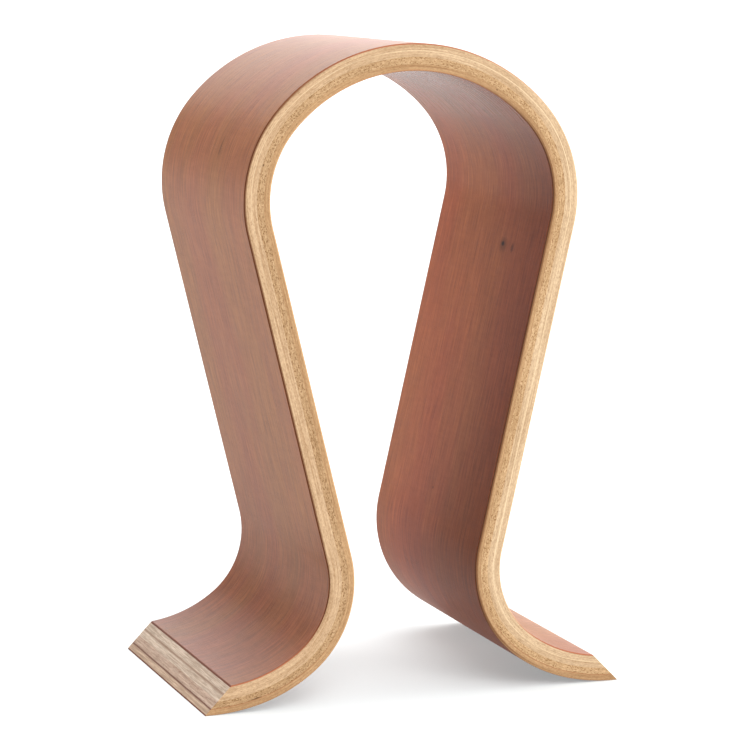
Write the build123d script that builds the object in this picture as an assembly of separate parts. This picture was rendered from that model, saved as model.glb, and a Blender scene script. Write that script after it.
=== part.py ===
from build123d import *
import math
import os

# Headphone stand: one strip of moulded plywood, bent into an arch on two out-turned feet.
# The headband rests over the crown of the arch and the ear cups hang beside the legs.
#
# Frame: millimetres, +Z up. The origin is on the table, under the middle of the stand.
# X runs across the two legs and Y runs along the strip's width. The stand is the same on
# both sides of the plane X = 0, and its section is the same all along Y.

# Overall sizes
HEIGHT = 290.0            # table to the top of the crown
WIDTH = 137.0             # of the strip, along Y

# Lay-up, from the outer face (the top of the arch) to the inner face
FACE_VENEER = 0.6         # thickness of each reddish-brown face veneer
PALE_PLY = 1.35           # the four pale plies under the outer face, grain along the strip
CROSS_PLY = 1.55          # the two middle plies, grain across the strip
TAN_PLY = 1.15            # the two tan plies over the inner face, grain along the strip
CORE = 4 * [PALE_PLY] + 2 * [CROSS_PLY] + 2 * [TAN_PLY]
THICKNESS = 2 * FACE_VENEER + sum(CORE)

# The bends of one half, as radii of the strip's middle line and angles that it turns through
CROWN_RADIUS = 77.0
CROWN_TURN = 48.0         # from the middle of the crown to where the shoulder starts
SHOULDER_RADIUS = 54.0
LEG_LEAN = 13.3           # the legs come closer together downwards, this far off vertical
ANKLE_RADIUS = 44.0
ANKLE_TURN = 66.0
INSTEP_RADIUS = 66.0
TOE_RADIUS = 82.0
TOE_TURN = 14.0           # the toe comes down on the table at this slope and flattens out

# Foot ends
TOE_FLAT = 2.0            # flat strip of underside that the foot stands on
MITRE = 46.0              # slope of the cut end above the table
SPARE = 20.0              # extra length, which the mitre cuts off


def bends(leg_length):
    """Return one half's path, crown to toe: (length, None) is straight and (radius, turn) is
    an arc, whose turn is in degrees, positive where the path turns down over the arch."""
    shoulder_turn = 90.0 + LEG_LEAN - CROWN_TURN
    instep_turn = 90.0 + LEG_LEAN - ANKLE_TURN - TOE_TURN
    return [
        (CROWN_RADIUS, CROWN_TURN),
        (SHOULDER_RADIUS, shoulder_turn),
        (leg_length, None),
        (ANKLE_RADIUS, -ANKLE_TURN),
        (INSTEP_RADIUS, -instep_turn),
        (TOE_RADIUS, -TOE_TURN),
        (TOE_FLAT + SPARE, None),
    ]


def unit(degrees):
    """Return the unit vector that points this many degrees up from +X, in the XZ section."""
    return Vector(math.cos(math.radians(degrees)), math.sin(math.radians(degrees)))


def follow(path, offset):
    """Return the edges of a half at this distance outside the middle line, and where the
    middle line ends. The middle line starts at the crown, at (0, 0), heading along +X."""
    edges = []
    place = Vector(0, 0)
    heading = 0.0
    for size, turn in path:
        outward = unit(heading + 90.0)
        if turn is None:
            start = place + outward * offset
            place = place + unit(heading) * size
            edges.append(Line(start, place + outward * offset))
        elif turn > 0:
            centre = place - outward * size
            edges.append(CenterArc(centre, size + offset, heading + 90.0, -turn))
            heading -= turn
            place = centre + unit(heading + 90.0) * size
        else:
            centre = place + outward * size
            edges.append(CenterArc(centre, size - offset, heading - 90.0, -turn))
            heading -= turn
            place = centre + unit(heading - 90.0) * size
    return edges, place


def leg_length():
    """Return the length of the straight leg that makes the stand as high as HEIGHT."""
    trial = 100.0
    trial_fall = -follow(bends(trial), 0.0)[1].Y
    missing_fall = HEIGHT - THICKNESS - trial_fall
    return trial + missing_fall / math.cos(math.radians(LEG_LEAN))


PATH = bends(leg_length())
TOE_TIP = follow(PATH, 0.0)[1].X - SPARE
MIDDLE_TOP = HEIGHT - THICKNESS / 2


def ply_section(outer_depth, inner_depth):
    """Return the XZ section of a ply whose faces lie at these depths under the outer face."""
    outer, _ = follow(PATH, THICKNESS / 2 - outer_depth)
    inner, _ = follow(PATH, THICKNESS / 2 - inner_depth)
    end = Line(outer[-1] @ 1, inner[-1] @ 1)
    right = Curve() + outer + [end] + inner
    outline = right + mirror(right, about=Plane.YZ)
    return make_face(outline.edges()).moved(Location((0, MIDDLE_TOP)))


def mitre_waste(side):
    """Return the piece of the XZ section that the mitre cuts off the foot on this side."""
    reach = 2 * SPARE
    back = reach / math.tan(math.radians(MITRE))
    waste = Polygon(
        (TOE_TIP, 0),
        (TOE_TIP + reach, 0),
        (TOE_TIP + reach, reach),
        (TOE_TIP - back, reach),
        align=None,
    )
    below = Polygon(
        (TOE_TIP, 0),
        (TOE_TIP, -THICKNESS),
        (TOE_TIP + reach, -THICKNESS),
        (TOE_TIP + reach, 0),
        align=None,
    )
    cut = waste + below
    return cut if side > 0 else mirror(cut, about=Plane.YZ)


def ply(outer_depth, inner_depth):
    """Return a ply as a solid, mitred at both feet and standing on the table."""
    section = ply_section(outer_depth, inner_depth) - mitre_waste(1) - mitre_waste(-1)
    upright = Plane.XZ * section
    return extrude(upright, amount=WIDTH / 2, both=True)


def write_part(part, name):
    """Write a piece's STEP file under its node name."""
    part.label = name
    export_step(part, f"parts/{name}.step")


os.makedirs("parts", exist_ok=True)

write_part(ply(0.0, FACE_VENEER), "outer_face_veneer")
depth = FACE_VENEER
for number, thickness in enumerate(CORE, start=1):
    write_part(ply(depth, depth + thickness), f"core_ply_{number}")
    depth += thickness
write_part(ply(THICKNESS - FACE_VENEER, THICKNESS), "inner_face_veneer")

print("leg length", round(PATH[2][0], 2), "toe tip at x", round(TOE_TIP, 2))
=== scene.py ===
import math
from collections import namedtuple

import bpy
import numpy as np
from mathutils import Matrix, Vector


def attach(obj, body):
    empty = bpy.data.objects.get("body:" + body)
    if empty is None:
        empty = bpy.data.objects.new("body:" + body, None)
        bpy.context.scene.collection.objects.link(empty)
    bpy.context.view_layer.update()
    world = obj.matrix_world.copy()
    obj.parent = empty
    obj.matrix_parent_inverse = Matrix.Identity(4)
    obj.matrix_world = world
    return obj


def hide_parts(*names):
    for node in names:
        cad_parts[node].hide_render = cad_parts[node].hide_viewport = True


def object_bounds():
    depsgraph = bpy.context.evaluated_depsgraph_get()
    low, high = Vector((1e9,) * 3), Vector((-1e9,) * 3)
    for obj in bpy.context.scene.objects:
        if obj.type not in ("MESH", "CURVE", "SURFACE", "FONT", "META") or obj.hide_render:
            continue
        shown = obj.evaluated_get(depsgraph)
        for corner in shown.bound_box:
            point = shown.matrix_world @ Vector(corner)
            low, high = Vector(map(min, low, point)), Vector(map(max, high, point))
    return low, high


# Headphone stand of moulded plywood: ten veneers glued into one bent strip.
# Metres. X runs across the two legs, Y along the strip's width and +Z up from the table.

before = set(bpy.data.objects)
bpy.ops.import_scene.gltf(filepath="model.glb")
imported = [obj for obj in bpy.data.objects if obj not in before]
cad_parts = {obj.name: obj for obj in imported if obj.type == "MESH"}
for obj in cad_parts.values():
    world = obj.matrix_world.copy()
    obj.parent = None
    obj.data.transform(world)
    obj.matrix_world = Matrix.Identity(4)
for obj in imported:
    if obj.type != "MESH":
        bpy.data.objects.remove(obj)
cad_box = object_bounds()

MM = 0.001

# ---------------------------------------------------------------- sizes, as in the CAD model

HEIGHT = cad_box[1][2]
WIDTH = cad_box[1][1] - cad_box[0][1]
FACE_VENEER = 0.6 * MM
PALE_PLY = 1.35 * MM
CROSS_PLY = 1.55 * MM
TAN_PLY = 1.15 * MM
THICKNESS = 2 * FACE_VENEER + 4 * PALE_PLY + 2 * CROSS_PLY + 2 * TAN_PLY

CROWN_RADIUS = 77.0 * MM
CROWN_TURN = 48.0
SHOULDER_RADIUS = 54.0 * MM
LEG_LEAN = 13.3
ANKLE_RADIUS = 44.0 * MM
ANKLE_TURN = 66.0
INSTEP_RADIUS = 66.0 * MM
TOE_RADIUS = 82.0 * MM
TOE_TURN = 14.0
TOE_FLAT = 2.0 * MM
MITRE = math.radians(46.0)

# ---------------------------------------------------------------- details only seen here

ARRIS = 0.35 * MM         # rounding of the veneers' outer corners
GLUE_GROOVE = 0.04 * MM   # rounding of each ply's corners where it meets its neighbour
FACE_WAVE = 0.03 * MM     # height of the slight waves that the press leaves in the outer face

# ---------------------------------------------------------------- the meshes' fineness

STATION_STEP = 1.5 * MM   # spacing along the strip
COLUMN_STEP = 2.0 * MM    # spacing across the face veneers
CORE_COLUMN_STEP = 12.0 * MM  # spacing across the core plies
LAYERS = 9                # points through the thickness of a ply
CORNER_STEPS = np.array([0.0, 0.35, 0.7, 1.0])  # points on a rounded corner, in radii
CORNER_CLEAR = 1.3        # where the even spacing starts after a corner, in radii
MITRE_REACH = 30.0 * MM   # the length before each end over which the stations fan to the mitre
MITRE_TRIALS = 400        # places along that length at which the mitre's cut is looked for
MITRE_DEPTHS = 5          # depths in a ply at which the cut is worked out
TOUCHING = 1e-9           # points closer to a side than this are on it, in metres
NO_LENGTH = 1e-12         # stands in for a length of nothing in a division
CREASE = math.radians(40)  # edges that turn more than this are shaded sharp


# ================================================================ the bent path

def path_segments(leg):
    """One half's middle line from the crown: (length, None) is straight and (radius, turn) is an
    arc, whose turn is in degrees, positive where it bends down over the arch."""
    return [
        (CROWN_RADIUS, CROWN_TURN),
        (SHOULDER_RADIUS, 90.0 + LEG_LEAN - CROWN_TURN),
        (leg, None),
        (ANKLE_RADIUS, -ANKLE_TURN),
        (INSTEP_RADIUS, -(90.0 + LEG_LEAN - ANKLE_TURN - TOE_TURN)),
        (TOE_RADIUS, -TOE_TURN),
        (TOE_FLAT, None),
    ]


def segment_length(size, turn):
    """Return the length of a straight or an arc of the path."""
    return size if turn is None else size * math.radians(abs(turn))


def path_length(leg):
    """Return the length of one half's middle line."""
    return sum(segment_length(size, turn) for size, turn in path_segments(leg))


def walk(leg, distance):
    """Return x, z and the outward normal's x and z at these distances from the crown along the
    middle line of the right half. Past the path's end it runs on straight."""
    x, z, heading = (np.zeros_like(distance) for _ in range(3))
    at_x, at_z, angle, gone = 0.0, HEIGHT - THICKNESS / 2, 0.0, 0.0
    for size, turn in path_segments(leg):
        here = distance >= gone
        along = distance[here] - gone
        length = segment_length(size, turn)
        if turn is None:
            heading[here] = angle
            x[here] = at_x + along * math.cos(angle)
            z[here] = at_z + along * math.sin(angle)
            at_x += length * math.cos(angle)
            at_z += length * math.sin(angle)
        else:
            side = math.copysign(1.0, turn)
            centre_x = at_x + side * size * math.sin(angle)
            centre_z = at_z - side * size * math.cos(angle)
            heading[here] = angle - side * along / size
            x[here] = centre_x - side * size * np.sin(heading[here])
            z[here] = centre_z + side * size * np.cos(heading[here])
            angle -= side * length / size
            at_x = centre_x - side * size * math.sin(angle)
            at_z = centre_z + side * size * math.cos(angle)
        gone += length
    return x, z, -np.sin(heading), np.cos(heading)


def find_leg():
    """Return the straight leg's length, which brings the toe's underside down to the table. It
    is worked out from how far above the table a trial leg ends."""
    trial = 100.0 * MM
    _, end_z, _, _ = walk(trial, np.array([path_length(trial)]))
    underside = end_z[0] - THICKNESS / 2
    return trial + underside / math.cos(math.radians(LEG_LEAN))


LEG = find_leg()
PATH_END = path_length(LEG)
TOE_TIP = walk(LEG, np.array([PATH_END]))[0][0]


def mitre_end(offset):
    """Return how far along the path a face at this distance outside the middle line is cut off."""
    distance = np.linspace(PATH_END - MITRE_REACH, PATH_END, MITRE_TRIALS)
    x, z, out_x, out_z = walk(LEG, distance)
    beyond = x + offset * out_x - TOE_TIP + (z + offset * out_z) / math.tan(MITRE)
    return float(np.interp(0.0, beyond, distance))


# ================================================================ ply meshes

def steps(length, step, corner):
    """Return evenly spaced places from 0 to length, with closer ones on the rounded corners."""
    clear = corner * CORNER_CLEAR
    inside = np.linspace(clear, length - clear, max(2, round(length / step)))
    near = corner * CORNER_STEPS
    return np.concatenate([near, inside, length - near[::-1]])


def round_corners(places, lows, highs, radius):
    """Move the surface points of a box on to corners of this radius."""
    core = np.clip(places, lows + radius, highs - radius)
    away = places - core
    reach = np.linalg.norm(away, axis=-1, keepdims=True)
    return core + away * radius / np.maximum(reach, NO_LENGTH)


def box_faces(number):
    """Return the quads that skin a lattice whose points are numbered by this array."""
    def quads(sheet, flip):
        a, b, c, d = sheet[:-1, :-1], sheet[1:, :-1], sheet[1:, 1:], sheet[:-1, 1:]
        ring = (a, d, c, b) if flip else (a, b, c, d)
        return np.stack(ring, -1).reshape(-1, 4)
    return np.concatenate([
        quads(number[:, :, -1], False), quads(number[:, :, 0], True),
        quads(number[:, 0, :], False), quads(number[:, -1, :], True),
        quads(number[0, :, :], True), quads(number[-1, :, :], False),
    ])


def face_wave(along, across):
    """Return the slight unevenness of a face, as a share of its full height below the CAD face.
    It is a slow wave and a quick one, each the product of two sines with lengths in metres."""
    slow = np.sin(along / 0.037 + 1.3) * np.sin(across / 0.021 + 0.4)
    quick = np.sin(along / 0.013 + across / 0.029) * np.sin(across / 0.011 + 2.1)
    return 0.5 + 0.3 * slow + 0.2 * quick


def straight_ply(low, high, column_step, corner):
    """Return the surface points of an unbent, square-cut ply as (along, across, out), the quads
    that join them, and the ply's lowest and highest corners."""
    along = steps(2 * PATH_END, STATION_STEP, corner) - PATH_END
    across = steps(WIDTH, column_step, corner) - WIDTH / 2
    out = low + (high - low) * np.linspace(0.0, 1.0, LAYERS)
    skin = np.ones((len(along), len(across), len(out)), bool)
    skin[1:-1, 1:-1, 1:-1] = False
    number = np.full(skin.shape, -1)
    number[skin] = np.arange(skin.sum())
    places = np.stack(np.meshgrid(along, across, out, indexing="ij"), -1)[skin]
    lows = np.array([along[0], across[0], low])
    highs = np.array([along[-1], across[-1], high])
    return places, box_faces(number), lows, highs


def bend(places, low, high):
    """Bend the places of an unbent ply on to the path and fan both its ends to the mitres.
    Return the bent points, and their distances from the crown, which are negative on the left."""
    along, across, out = places.T
    depths = np.linspace(low, high, MITRE_DEPTHS)
    end = np.interp(out, depths, [mitre_end(depth) for depth in depths])
    distance = np.abs(along)
    start = PATH_END - MITRE_REACH
    fanned = start + (distance - start) * (end - start) / MITRE_REACH
    distance = np.where(distance > start, fanned, distance)
    x, z, out_x, out_z = walk(LEG, distance)
    side = np.where(along < 0, -1.0, 1.0)
    points = np.stack([side * (x + out * out_x), across, z + out * out_z], -1)
    return points, side * distance


def ply_mesh(name, top, bottom, column_step, exposed):
    """Build a ply between two depths under the outer face. exposed is +1 where its outer face
    shows, -1 where its inner face shows and 0 for a core ply.

    The mesh keeps each point's place on the unbent strip as the attribute lay, in millimetres
    along, across and out, for the wood's grain. The attribute rim is 1 on the strip's long edges
    and its mitres, and end_grain on the mitres alone."""
    high = THICKNESS / 2 - top
    low = THICKNESS / 2 - bottom
    corner = ARRIS if exposed else GLUE_GROOVE
    places, faces, lows, highs = straight_ply(low, high, column_step, corner)
    to_side = np.minimum(places - lows, highs - places)
    end_grain = to_side[:, 0] < TOUCHING
    rim = end_grain | (to_side[:, 1] < TOUCHING)

    # A face veneer's corners stay square on the side that is glued to the core.
    if exposed > 0:
        lows[2] -= ARRIS
    if exposed < 0:
        highs[2] += ARRIS
    places = round_corners(places, lows, highs, corner)
    if exposed > 0:
        sunk = FACE_WAVE * face_wave(places[:, 0], places[:, 1])
        places[:, 2] -= np.where(places[:, 2] > low + FACE_WAVE * 2, sunk, 0.0)
    points, distance = bend(places, low, high)
    lay = np.stack([distance, places[:, 1], places[:, 2]], -1) / MM

    mesh = bpy.data.meshes.new(name)
    mesh.from_pydata(points.tolist(), [], faces.tolist())
    mesh.attributes.new("lay", "FLOAT_VECTOR", "POINT").data.foreach_set("vector", lay.ravel())
    for attribute, share in (("rim", rim), ("end_grain", end_grain)):
        mesh.attributes.new(attribute, "FLOAT", "POINT").data.foreach_set("value", share.astype(float))
    mesh.validate()
    mesh.shade_smooth()
    mesh.set_sharp_from_angle(angle=CREASE)
    piece = bpy.data.objects.new(name, mesh)
    bpy.context.scene.collection.objects.link(piece)
    return piece


# ================================================================ materials

def rgb(red, green, blue):
    """Return an opaque colour."""
    return (red, green, blue, 1.0)


WHITE = rgb(1.0, 1.0, 1.0)


class Wood:
    """A wood's node tree, built by short calls. Lengths are in millimetres. along is 0 at the
    crown and negative to the left, across is 0 at the middle of the strip's width, and out is 0
    at the middle of its thickness."""

    def __init__(self, name):
        self.material = bpy.data.materials.new(name)
        self.material.use_nodes = True
        self.tree = self.material.node_tree
        self.shader = self.tree.nodes["Principled BSDF"]
        self.lay = self.attribute("lay", "Vector")
        split = self.tree.nodes.new("ShaderNodeSeparateXYZ")
        self.tree.links.new(self.lay, split.inputs[0])
        self.along, self.across, self.out = split.outputs
        self.rim = self.attribute("rim", "Fac")
        self.end_grain = self.attribute("end_grain", "Fac")

    def attribute(self, name, output):
        node = self.tree.nodes.new("ShaderNodeAttribute")
        node.attribute_name = name
        return node.outputs[output]

    def feed(self, socket, value):
        if isinstance(value, bpy.types.NodeSocket):
            self.tree.links.new(value, socket)
        else:
            socket.default_value = value

    def math(self, operation, *values):
        node = self.tree.nodes.new("ShaderNodeMath")
        node.operation = operation
        for socket, value in zip(node.inputs, values):
            self.feed(socket, value)
        return node.outputs[0]

    def vector(self, operation, *values):
        node = self.tree.nodes.new("ShaderNodeVectorMath")
        node.operation = operation
        for socket, value in zip(node.inputs, values):
            self.feed(socket, value)
        return node.outputs["Value" if operation == "LENGTH" else "Vector"]

    def noise(self, size, detail, rough, shift, place=None):
        """Noise from 0 to 1 whose patches are about this size in mm (along, across, out). detail
        is how many finer noises it holds and rough how strong they are. shift moves it, so that
        no two noises are alike. It follows place, or else the strip itself."""
        node = self.tree.nodes.new("ShaderNodeTexNoise")
        node.inputs["Scale"].default_value = 1.0
        node.inputs["Detail"].default_value = detail
        node.inputs["Roughness"].default_value = rough
        moved = self.vector("ADD", place or self.lay, (shift, shift * 0.7, shift * 1.3))
        scaled = self.vector("MULTIPLY", moved, tuple(0.5 / s for s in size))
        self.feed(node.inputs["Vector"], scaled)
        return node.outputs["Fac"]

    def rise(self, value, low, high):
        """0 below low, 1 above high, and a smooth step between."""
        node = self.tree.nodes.new("ShaderNodeMapRange")
        node.interpolation_type = "SMOOTHSTEP"
        self.feed(node.inputs["Value"], value)
        node.inputs["From Min"].default_value = low
        node.inputs["From Max"].default_value = high
        return node.outputs["Result"]

    def times(self, *shares):
        """The product of two or more shares."""
        product = shares[0]
        for share in shares[1:]:
            product = self.math("MULTIPLY", product, share)
        return product

    def mix(self, share, first, second, blend="MIX"):
        """The first colour with this share of the second laid over it."""
        node = self.tree.nodes.new("ShaderNodeMix")
        node.data_type = "RGBA"
        node.blend_type = blend
        colour = {socket.name: socket for socket in node.inputs if socket.type == "RGBA"}
        self.feed(node.inputs["Factor"], share)
        self.feed(colour["A"], first)
        self.feed(colour["B"], second)
        return next(socket for socket in node.outputs if socket.type == "RGBA")

    def shade(self, colour, value, low, high, dark, light):
        """Multiply a colour by one that runs from dark, where the value is low, to light."""
        return self.mix(1.0, colour, self.mix(self.rise(value, low, high), dark, light), "MULTIPLY")

    def draw(self, line, colour, *shares):
        """Draw a line between two plies over a colour, as far as its own and these shares let."""
        away = self.math("ABSOLUTE", self.math("SUBTRACT", self.out, line.depth))
        strength = self.times(self.rise(away, line.half, 0.0), *shares, line.share)
        return self.mix(strength, colour, line.colour)

    def spot(self, place, half):
        """1 near a place of the strip, falling to 0 on an egg of these half-sizes, all in mm."""
        moved = self.vector("SUBTRACT", self.lay, place)
        scaled = self.vector("DIVIDE", moved, half)
        return self.rise(self.vector("LENGTH", scaled), 1.0, 0.25)

    def finish(self, colour, roughness, height, depth):
        """Give the shader its colour, roughness and bump, this deep in mm."""
        self.feed(self.shader.inputs["Base Color"], colour)
        self.shader.inputs["IOR"].default_value = LACQUER_IOR
        self.feed(self.shader.inputs["Roughness"], roughness)
        bump = self.tree.nodes.new("ShaderNodeBump")
        bump.inputs["Distance"].default_value = depth * MM
        self.feed(bump.inputs["Height"], height)
        self.feed(self.shader.inputs["Normal"], bump.outputs["Normal"])
        return self.material


LACQUER_IOR = 1.15        # thin satin lacquer, less shiny than a thick one
THROUGH = 1e6             # a size so long that noise doesn't change that way, in mm
FACE = THICKNESS / 2 / MM  # distance of the faces from the middle of the thickness, in mm
SIDE = -WIDTH / 2 / MM    # place of the strip's front long edge across its width, in mm

# The values between which a noise turns a look from one end to the other
SOFT = (0.30, 0.70)
FIRM = (0.34, 0.66)
PORES = (0.60, 0.72)

# ---------------------------------------------------------------- the face veneers

# The stretches over which their looks change, in mm along the strip from the crown, or across it
# from the middle. Its ends are 365 mm from the crown and its long edges 68.5 mm from the middle.
# EITHER_TOE and TO_CROWN hold on both sides of the crown.
LEFT_FOOT = (-300.0, -240.0)
LEFT_SHOULDER = (-90.0, 0.0)
RIGHT_SHOULDER = (0.0, 90.0)
RIGHT_FOOT = (240.0, 300.0)
EITHER_TOE = (285.0, 330.0)
TO_CROWN = (105.0, 55.0)
FRONT_SHADE = (-72.0, -5.0)

WANDER = 9.0              # how far the grain strays sideways, in mm
FACE_ROUGHNESS = 0.36
STREAK_ROUGHNESS = 0.10   # how much rougher the streaks make it
FIBRE_HEIGHT = 0.6        # of the fibres, where the pores are 1 deep
FACE_BUMP = 0.02          # depth of the pores in mm
PORE_SHARE = 0.38         # how strongly the pores' colour shows
KNOT_BLACK = rgb(0.020, 0.005, 0.002)
FACE_PORE = rgb(0.080, 0.026, 0.014)
EDGE_MITRE = rgb(0.130, 0.040, 0.022)

# The looks of the face veneers. The face varies between brown and red, and is multiplied by front
# towards its front edge, painted shade on the inner veneer, and by the other two at the feet: painted
# shade at the left foot, and at the right foot painted light on the outer veneer and painted shade on
# the inner. crown_polish is how much less rough the face is at the crown. The cut edge changes colour
# from leg to leg and at the feet; its light tan, on the outer veneer's right leg and the inner
# veneer's left leg, is a painted reflection of the white backdrop.
VeneerLook = namedtuple("VeneerLook", [
    "brown", "red", "crown_polish", "front", "left_foot", "right_foot",
    "edge_left", "edge_crown", "edge_right", "edge_foot",
])

OUTER_LOOK = VeneerLook(
    brown=rgb(0.260, 0.102, 0.040),
    red=rgb(0.258, 0.088, 0.041),
    crown_polish=0.0,
    front=WHITE,
    left_foot=rgb(0.84, 0.80, 0.84),
    # the right foot's tint is painted light
    right_foot=rgb(1.28, 1.62, 2.25),
    edge_left=rgb(0.072, 0.022, 0.009),
    edge_crown=rgb(0.340, 0.115, 0.058),
    # edge_right is a painted reflection of the white backdrop on the cut edge
    edge_right=rgb(0.570, 0.390, 0.240),
    edge_foot=rgb(0.340, 0.115, 0.058),
)
INNER_LOOK = VeneerLook(
    brown=rgb(0.300, 0.098, 0.036),
    red=rgb(0.308, 0.085, 0.035),
    crown_polish=0.14,
    # front is painted shade towards the inner veneer's front edge
    front=rgb(0.72, 0.68, 0.68),
    left_foot=rgb(0.84, 0.80, 0.78),
    right_foot=rgb(0.86, 0.70, 0.62),
    # edge_left is a painted reflection of the white backdrop on the cut edge
    edge_left=rgb(0.500, 0.300, 0.150),
    edge_crown=rgb(0.360, 0.180, 0.085),
    edge_right=rgb(0.070, 0.028, 0.014),
    edge_foot=rgb(0.330, 0.190, 0.095),
)


# The noises that make a face veneer's figure
Figure = namedtuple("Figure", "broad cloud streak fibre ripple pore")


def veneer_figure(wood, shift):
    """The figure of a face veneer, whose straight grain strays a little sideways."""
    stray = wood.times(wood.noise((200.0, 50.0, THROUGH), 1.0, 0.5, shift), WANDER)
    sideways = wood.tree.nodes.new("ShaderNodeCombineXYZ")
    wood.feed(sideways.inputs["Y"], stray)
    grain = wood.vector("ADD", wood.lay, sideways.outputs[0])
    pores = wood.noise((5.0, 0.24, THROUGH), 1.0, 0.5, shift + 37.0, grain)
    return Figure(
        broad=wood.noise((75.0, 24.0, THROUGH), 2.0, 0.5, shift, grain),
        cloud=wood.noise((26.0, 11.0, THROUGH), 2.0, 0.5, shift + 7.0, grain),
        streak=wood.noise((20.0, 1.2, THROUGH), 3.0, 0.55, shift + 11.0, grain),
        fibre=wood.noise((8.0, 0.42, THROUGH), 3.0, 0.6, shift + 23.0, grain),
        ripple=wood.noise((1.0, 7.0, THROUGH), 2.0, 0.6, shift + 31.0, grain),
        pore=wood.rise(pores, *PORES),
    )


def veneer_face(wood, look, marks, figure):
    """The colour of a face veneer's face, with painted shade towards the inner veneer's front edge and
    painted light and shade at the feet.
    """
    colour = wood.mix(wood.rise(figure.broad, 0.36, 0.64), look.brown, look.red)
    colour = wood.shade(colour, figure.cloud, *SOFT, rgb(0.95, 0.94, 0.94), rgb(1.04, 1.04, 1.04))
    colour = wood.shade(colour, figure.streak, 0.32, 0.68, rgb(0.89, 0.87, 0.87), rgb(1.09, 1.10, 1.10))
    colour = wood.shade(colour, figure.fibre, *SOFT, rgb(0.80, 0.77, 0.76), rgb(1.17, 1.19, 1.19))
    colour = wood.shade(colour, figure.ripple, *SOFT, rgb(0.96, 0.955, 0.955), rgb(1.04, 1.045, 1.045))
    colour = wood.mix(wood.times(figure.pore, PORE_SHARE), colour, FACE_PORE)
    for place, half, strength in marks:
        colour = wood.mix(wood.times(wood.spot(place, half), strength), colour, KNOT_BLACK)
    # Painted shade darkens the inner veneer towards its front edge.
    colour = wood.shade(colour, wood.across, *FRONT_SHADE, look.front, WHITE)
    # Painted shade at the left foot; at the right foot, painted light on the outer veneer and painted
    # shade on the inner.
    colour = wood.shade(colour, wood.along, *LEFT_FOOT, look.left_foot, WHITE)
    return wood.shade(colour, wood.along, *RIGHT_FOOT, WHITE, look.right_foot)


def veneer_edge(wood, look, from_crown):
    """The colour of a face veneer's cut edges and mitres. The cut edge's light tan, on the outer
    veneer's right leg and the inner veneer's left leg, is a painted reflection of the white backdrop.
    """
    edge = wood.mix(wood.rise(wood.along, *LEFT_SHOULDER), look.edge_left, look.edge_crown)
    edge = wood.mix(wood.rise(wood.along, *RIGHT_SHOULDER), edge, look.edge_right)
    edge = wood.mix(wood.rise(from_crown, *EITHER_TOE), edge, look.edge_foot)
    return wood.mix(wood.end_grain, edge, EDGE_MITRE)


def face_veneer(name, shift, look, marks):
    """Reddish-brown straight-grained veneer under satin lacquer."""
    wood = Wood(name)
    from_crown = wood.math("ABSOLUTE", wood.along)
    figure = veneer_figure(wood, shift)
    face = veneer_face(wood, look, marks, figure)
    colour = wood.mix(wood.rim, face, veneer_edge(wood, look, from_crown))
    polish = wood.times(wood.rise(from_crown, *TO_CROWN), look.crown_polish)
    matt = wood.math("MULTIPLY_ADD", figure.streak, STREAK_ROUGHNESS, FACE_ROUGHNESS)
    roughness = wood.math("SUBTRACT", matt, polish)
    height = wood.math("SUBTRACT", wood.times(figure.fibre, FIBRE_HEIGHT), figure.pore)
    return wood.finish(colour, roughness, height, FACE_BUMP)


# ---------------------------------------------------------------- the core plies

# Lines that show where two core plies meet, on the long edges and on the mitres. depth is the
# distance outside the middle of the thickness and half the half width, both in mm. share is how
# strongly the line shows.
Line = namedtuple("Line", "depth half share colour")

PALE_DEPTH = 2.70
BROWN_DEPTH = -3.10
EDGE_PALE_LINE = Line(PALE_DEPTH, 0.28, 0.68, rgb(0.76, 0.60, 0.40))
EDGE_BROWN_LINE = Line(BROWN_DEPTH, 0.30, 0.85, rgb(0.26, 0.10, 0.042))
MITRE_PALE_LINE = Line(PALE_DEPTH, 0.60, 0.80, rgb(0.215, 0.125, 0.080))
MITRE_BROWN_LINE = Line(BROWN_DEPTH, 0.50, 0.95, rgb(0.100, 0.028, 0.016))

# The stretches over which their looks change, in mm along the strip from the crown.
# BROWN_LINE_TOE holds on both sides of the crown.
LEG_TO_LEG = (-110.0, 110.0)
PALE_LINE_RISE = (-260.0, 40.0)
BROWN_LINE_TOE = (285.0, 325.0)
LEFT_LEG_TOP = (-10.0, -80.0)
LEFT_LEG_END = (-310.0, -230.0)
RIGHT_LEG_TOP = (20.0, 90.0)
RIGHT_LEG_END = (350.0, 300.0)

# The brown beside the dark cut edge of a face veneer, partly a glue line and partly painted shade
# in the joint, from where it starts to where it is full, in mm outside the middle of the thickness
OUTER_SHADE = (FACE - 1.35, FACE - 0.85)
INNER_SHADE = (1.60 - FACE, 1.00 - FACE)
SHADE_SHARE = 0.85
SHADE_BROWN = rgb(0.130, 0.050, 0.020)

CORE_ROUGHNESS = 0.58
LINE_HEIGHT = 0.6         # of the grain's lines, where the pores are 1 deep
CORE_BUMP = 0.03          # depth of the pores in mm
CORE_PORE = rgb(0.190, 0.085, 0.030)
CORE_MARK = rgb(0.070, 0.030, 0.014)
MITRE_FLECK = rgb(0.20, 0.105, 0.066)

# The looks of the core plies. The long edges and the mitres each vary between a dark and a light
# colour, and the long edges are multiplied by left on the left leg and by right on the other, which
# paints the pale and speckled plies' long edges lighter on the right leg: painted light. The shares
# are how strongly the long edges' pores and the mitres' flecks show.
CoreLook = namedtuple("CoreLook", [
    "crosswise", "dark", "light", "left", "right", "mitre_dark", "mitre_light",
    "pore_share", "fleck_share",
])

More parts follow.
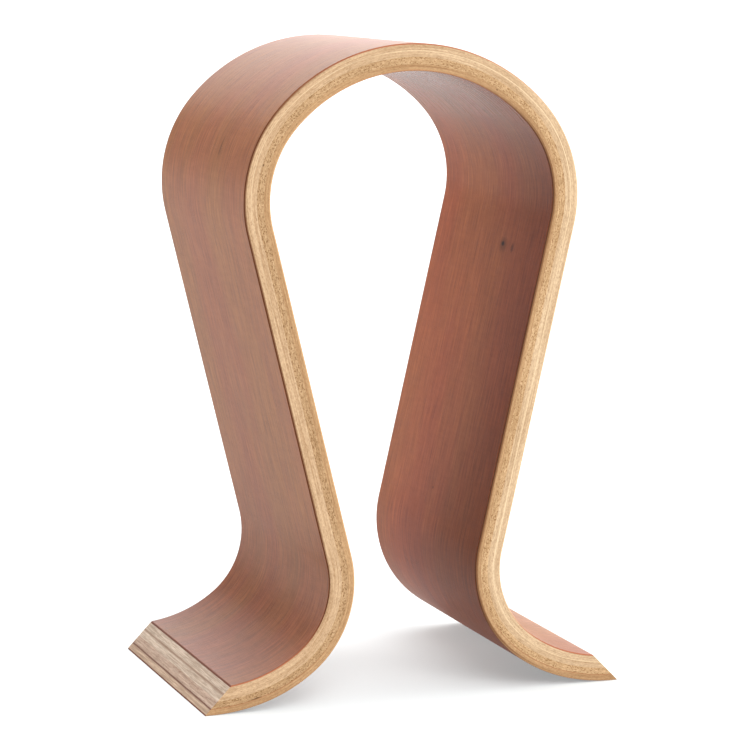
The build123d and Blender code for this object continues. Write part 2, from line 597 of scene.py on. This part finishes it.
PALE_LOOK = CoreLook(
    crosswise=False,
    dark=rgb(0.400, 0.248, 0.134),
    light=rgb(0.575, 0.395, 0.240),
    left=rgb(0.87, 0.87, 0.87),
    right=rgb(0.95, 1.00, 1.04),
    mitre_dark=rgb(0.370, 0.280, 0.210),
    mitre_light=rgb(0.560, 0.450, 0.355),
    pore_share=0.36,
    fleck_share=0.22,
)
SPECKLED_LOOK = CoreLook(
    crosswise=True,
    dark=rgb(0.350, 0.206, 0.098),
    light=rgb(0.520, 0.335, 0.182),
    left=rgb(0.82, 0.82, 0.82),
    right=rgb(0.97, 0.99, 1.00),
    mitre_dark=rgb(0.325, 0.220, 0.160),
    mitre_light=rgb(0.470, 0.345, 0.265),
    pore_share=0.75,
    fleck_share=0.55,
)
TAN_LOOK = CoreLook(
    crosswise=False,
    dark=rgb(0.350, 0.196, 0.092),
    light=rgb(0.520, 0.320, 0.165),
    left=rgb(0.82, 0.82, 0.82),
    right=rgb(0.78, 0.77, 0.76),
    mitre_dark=rgb(0.340, 0.232, 0.160),
    mitre_light=rgb(0.510, 0.375, 0.270),
    pore_share=0.36,
    fleck_share=0.22,
)


def core_grain(wood, shift, look):
    """The lines and pores of a core ply's long edges: fine lines along the grain, or speckled end
    grain where the grain runs across the strip."""
    if look.crosswise:
        lines = wood.noise((1.6, 14.0, 0.34), 3.0, 0.65, shift + 5.0)
        pores = wood.noise((0.42, 6.0, 0.26), 1.0, 0.5, shift + 9.0)
        return lines, wood.rise(pores, 0.56, 0.65)
    lines = wood.noise((14.0, 0.8, 0.26), 4.0, 0.6, shift + 5.0)
    pores = wood.noise((0.9, 0.5, 0.24), 1.0, 0.5, shift + 9.0)
    return lines, wood.rise(pores, *PORES)


def beside_veneers(wood):
    """The share of brown beside the dark cut edge of a face veneer, which is the outer one on the
    left leg and the inner one on the right leg. The brown is partly a glue line and partly painted
    shade in the joint."""
    along = wood.along
    left_leg = wood.times(wood.rise(along, *LEFT_LEG_TOP), wood.rise(along, *LEFT_LEG_END))
    right_leg = wood.times(wood.rise(along, *RIGHT_LEG_TOP), wood.rise(along, *RIGHT_LEG_END))
    outer_shade = wood.times(wood.rise(wood.out, *OUTER_SHADE), left_leg)
    inner_shade = wood.times(wood.rise(wood.out, *INNER_SHADE), right_leg)
    return wood.math("ADD", outer_shade, inner_shade)


def core_edge(wood, shift, look, lines, pore):
    """The colour of a core ply's long edges, with painted light on the right leg and, beside a face
    veneer's dark cut edge, a brown that is partly a glue line and partly painted shade.
    """
    patch = wood.noise((26.0, 30.0, 1.2), 2.0, 0.5, shift)
    grit = wood.noise((0.55, 3.0, 0.26), 2.0, 0.6, shift + 27.0)
    tone = wood.math("MULTIPLY_ADD", lines, 0.6, wood.times(patch, 0.4))
    edge = wood.mix(wood.rise(tone, *FIRM), look.dark, look.light)
    edge = wood.shade(edge, grit, *SOFT, rgb(0.86, 0.84, 0.82), rgb(1.10, 1.11, 1.12))
    edge = wood.mix(wood.times(pore, look.pore_share), edge, CORE_PORE)
    # Painted light: the pale and speckled plies' long edges are lighter on the right leg than on the
    # left.
    edge = wood.shade(edge, wood.along, *LEG_TO_LEG, look.left, look.right)

    glow = wood.rise(wood.noise((40.0, THROUGH, THROUGH), 1.0, 0.5, shift + 3.0), 0.25, 0.60)
    edge = wood.draw(EDGE_PALE_LINE, edge, glow, wood.rise(wood.along, *PALE_LINE_RISE))
    near_toe = wood.rise(wood.math("ABSOLUTE", wood.along), *BROWN_LINE_TOE)
    edge = wood.draw(EDGE_BROWN_LINE, edge, near_toe)
    # The brown beside a face veneer's dark cut edge: partly a glue line, partly painted shade in the
    # joint.
    return wood.mix(wood.times(beside_veneers(wood), SHADE_SHARE), edge, SHADE_BROWN)


def core_mitre(wood, shift, look):
    """The colour of a core ply's mitres, with the streaks that slicing leaves."""
    slices = wood.noise((6.0, 15.0, 0.28), 4.0, 0.65, shift + 15.0)
    flecks = wood.noise((1.0, 2.6, 0.30), 2.0, 0.6, shift + 19.0)
    scratch = wood.noise((2.0, 5.0, 0.16), 2.0, 0.6, shift + 33.0)
    mitre = wood.mix(wood.rise(slices, *FIRM), look.mitre_dark, look.mitre_light)
    mitre = wood.shade(mitre, scratch, *SOFT, rgb(0.82, 0.81, 0.80), rgb(1.12, 1.12, 1.12))
    fleck = wood.rise(flecks, 0.56, 0.70)
    mitre = wood.mix(wood.times(fleck, look.fleck_share), mitre, MITRE_FLECK)
    return wood.draw(MITRE_BROWN_LINE, wood.draw(MITRE_PALE_LINE, mitre))


def core_ply(name, shift, look, marks):
    """A core ply, whose long edges and mitres are all that shows of it."""
    wood = Wood(name)
    lines, pore = core_grain(wood, shift, look)
    edge = core_edge(wood, shift, look, lines, pore)
    colour = wood.mix(wood.end_grain, edge, core_mitre(wood, shift, look))
    for place, half, strength in marks:
        colour = wood.mix(wood.times(wood.spot(place, half), strength), colour, CORE_MARK)
    height = wood.math("SUBTRACT", wood.times(lines, LINE_HEIGHT), pore)
    return wood.finish(colour, CORE_ROUGHNESS, height, CORE_BUMP)


# ================================================================ the stand

# How far each veneer's noises are shifted, so that no two plies look alike
OUTER_SHIFT = 3.0
INNER_SHIFT = 71.0
CORE_SHIFT = 17.0         # times the core ply's number

# Marks in the wood: (place, half-size, strength), each length in mm along, across and out
OUTER_MARKS = [
    ((-84.0, -20.0, FACE), (6.0, 0.9, 1.0), 0.60),
    ((-208.0, -24.0, FACE), (4.0, 0.6, 1.0), 0.35),
]
INNER_MARKS = [
    ((132.0, -20.0, -FACE), (1.7, 2.6, 1.0), 0.98),
    ((132.5, -20.5, -FACE), (5.0, 7.0, 1.0), 0.40),
    ((133.0, -32.0, -FACE), (3.0, 2.4, 1.0), 0.55),
    ((250.0, 0.0, -FACE), (0.9, 0.9, 1.0), 0.60),
]
SPECKLED_MARKS = [
    ((-87.0, SIDE, -0.3), (0.8, 4.0, 0.6), 0.8),
    ((-13.0, SIDE, -2.9), (0.8, 4.0, 0.5), 0.6),
]
CRACK = [((-342.0, SIDE, -2.7), (3.4, 4.0, 0.40), 0.85)]
TAN_MARKS = [
    ((-160.0, SIDE, -3.6), (0.7, 4.0, 0.5), 0.7),
    ((43.0, SIDE, -3.8), (0.8, 4.0, 0.5), 0.7),
]

# The core plies from the outer face inwards: thickness, material slot, look and marks
CORE_PLIES = 4 * [(PALE_PLY, "pale_core_ply", PALE_LOOK, [])] + [
    (CROSS_PLY, "tan_core_ply", SPECKLED_LOOK, SPECKLED_MARKS),
    (CROSS_PLY, "tan_core_ply", SPECKLED_LOOK, CRACK),
] + 2 * [(TAN_PLY, "tan_core_ply", TAN_LOOK, TAN_MARKS)]


def add_ply(node, top, bottom, column_step, exposed, material):
    """Add the ply that stands for this CAD node, between two depths under the outer face."""
    piece = ply_mesh("look_" + node, top, bottom, column_step, exposed)
    piece.data.materials.append(material)
    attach(piece, "root")
    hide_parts(node)


def add_face_veneers():
    """Add the reddish-brown veneers on the outer and inner faces."""
    outer = face_veneer("outer veneer", OUTER_SHIFT, OUTER_LOOK, OUTER_MARKS)
    inner = face_veneer("inner veneer", INNER_SHIFT, INNER_LOOK, INNER_MARKS)
    inner_top = THICKNESS - FACE_VENEER
    add_ply("outer_face_veneer", 0.0, FACE_VENEER, COLUMN_STEP, 1, outer)
    add_ply("inner_face_veneer", inner_top, THICKNESS, COLUMN_STEP, -1, inner)


def add_core():
    """Add the core plies, from the outer face inwards."""
    top = FACE_VENEER
    for number, (thickness, slot, look, marks) in enumerate(CORE_PLIES, start=1):
        material = core_ply(f"core ply {number}", CORE_SHIFT * number, look, marks)
        add_ply(f"core_ply_{number}", top, top + thickness, CORE_COLUMN_STEP, 0, material)
        top += thickness


# ================================================================ floor, light and camera

FLOOR_RADIUS = 30.0
FLOOR_CORNERS = 64
FLOOR_ROUGHNESS = 0.9
FLOOR_COLOUR = rgb(0.56, 0.57, 0.57)
FLOOR_GLOW = rgb(0.295, 0.325, 0.330)

BACKDROP_WHITE = 1.1      # brightness of the backdrop as the camera sees it
BACKDROP_LIGHT = 0.30     # brightness of the backdrop as the stand and the floor see it

# Softboxes: name, compass angle from +X, height over the table and width in degrees, strength
SOFTBOXES = [
    ("back, low", 78.0, 15.0, 30.0, 0.23),
    ("back right, low", 30.0, 12.0, 32.0, 0.55),
    ("back right, high", 62.0, 40.0, 36.0, 0.28),
    ("back left, low", 139.0, 11.0, 34.0, 0.46),
    ("back left, high", 120.0, 40.0, 36.0, 0.22),
    ("top left", 120.0, 66.0, 36.0, 0.22),
    ("top right", 300.0, 66.0, 36.0, 0.22),
    ("front, high", 270.0, 40.0, 36.0, 0.42),
    ("front right, low", 300.0, 12.0, 32.0, 0.50),
    ("right, low", 330.0, 12.0, 32.0, 0.30),
    ("right, high", 0.0, 36.0, 36.0, 0.48),
]

CAMERA_PLACE = (-0.44534, -1.33050, 0.33559)
CAMERA_COMPASS = 18.696   # degrees that it looks to the right of +Y
CAMERA_DROP = 8.097       # degrees that it looks down
CAMERA_ROLL = -0.332      # degrees that it leans
CAMERA_LENS = 147.93      # focal length for a sensor of SENSOR, both in millimetres
SENSOR = 36.0


def add_floor():
    """A white table that glows a little, as one lit from below does. Both its colours are a
    little short of red, so that the light off the wood leaves its shadow grey."""
    mesh = bpy.data.meshes.new("floor")
    corners = np.linspace(0.0, 2 * math.pi, FLOOR_CORNERS, endpoint=False)
    ring = [(FLOOR_RADIUS * math.cos(a), FLOOR_RADIUS * math.sin(a), 0.0) for a in corners]
    mesh.from_pydata(ring, [], [tuple(range(len(ring)))])
    floor = bpy.data.objects.new("floor", mesh)
    bpy.context.scene.collection.objects.link(floor)
    material = bpy.data.materials.new("pale floor")
    material.use_nodes = True
    shader = material.node_tree.nodes["Principled BSDF"]
    shader.inputs["Base Color"].default_value = FLOOR_COLOUR
    shader.inputs["Roughness"].default_value = FLOOR_ROUGHNESS
    shader.inputs["Emission Color"].default_value = FLOOR_GLOW
    shader.inputs["Emission Strength"].default_value = 1.0
    mesh.materials.append(material)


def add_softbox(name, compass, height, width, strength):
    """A soft lamp far away, at this compass angle and height."""
    data = bpy.data.lights.new(name, "SUN")
    data.angle = math.radians(width)
    data.energy = strength * math.pi
    lamp = bpy.data.objects.new(name, data)
    bpy.context.scene.collection.objects.link(lamp)
    compass, height = math.radians(compass), math.radians(height)
    level = math.cos(height)
    towards = Vector((level * math.cos(compass), level * math.sin(compass), math.sin(height)))
    lamp.matrix_world = towards.to_track_quat("Z", "Y").to_matrix().to_4x4()


def add_world():
    """A white backdrop, which itself lights the stand only faintly."""
    world = bpy.data.worlds.new("studio")
    world.use_nodes = True
    tree = world.node_tree
    faint = tree.nodes["Background"]
    faint.inputs["Color"].default_value = WHITE
    faint.inputs["Strength"].default_value = BACKDROP_LIGHT
    white = tree.nodes.new("ShaderNodeBackground")
    white.inputs["Color"].default_value = WHITE
    white.inputs["Strength"].default_value = BACKDROP_WHITE
    rays = tree.nodes.new("ShaderNodeLightPath")
    choice = tree.nodes.new("ShaderNodeMixShader")
    tree.links.new(rays.outputs["Is Camera Ray"], choice.inputs["Fac"])
    tree.links.new(faint.outputs[0], choice.inputs[1])
    tree.links.new(white.outputs[0], choice.inputs[2])
    tree.links.new(choice.outputs[0], tree.nodes["World Output"].inputs["Surface"])
    bpy.context.scene.world = world


def add_camera():
    """The camera, a little above the crown and to the left of the front."""
    data = bpy.data.cameras.new("camera")
    data.lens = CAMERA_LENS
    data.sensor_width = SENSOR
    camera = bpy.data.objects.new("camera", data)
    bpy.context.scene.collection.objects.link(camera)
    turn = Matrix.Rotation(math.radians(-CAMERA_COMPASS), 4, "Z")
    tilt = Matrix.Rotation(math.radians(90.0 - CAMERA_DROP), 4, "X")
    roll = Matrix.Rotation(math.radians(CAMERA_ROLL), 4, "Z")
    camera.matrix_world = Matrix.Translation(CAMERA_PLACE) @ turn @ tilt @ roll
    bpy.context.scene.camera = camera


add_face_veneers()
add_core()
add_floor()
for softbox in SOFTBOXES:
    add_softbox(*softbox)
add_world()
add_camera()
bpy.context.scene.view_settings.view_transform = "Standard"
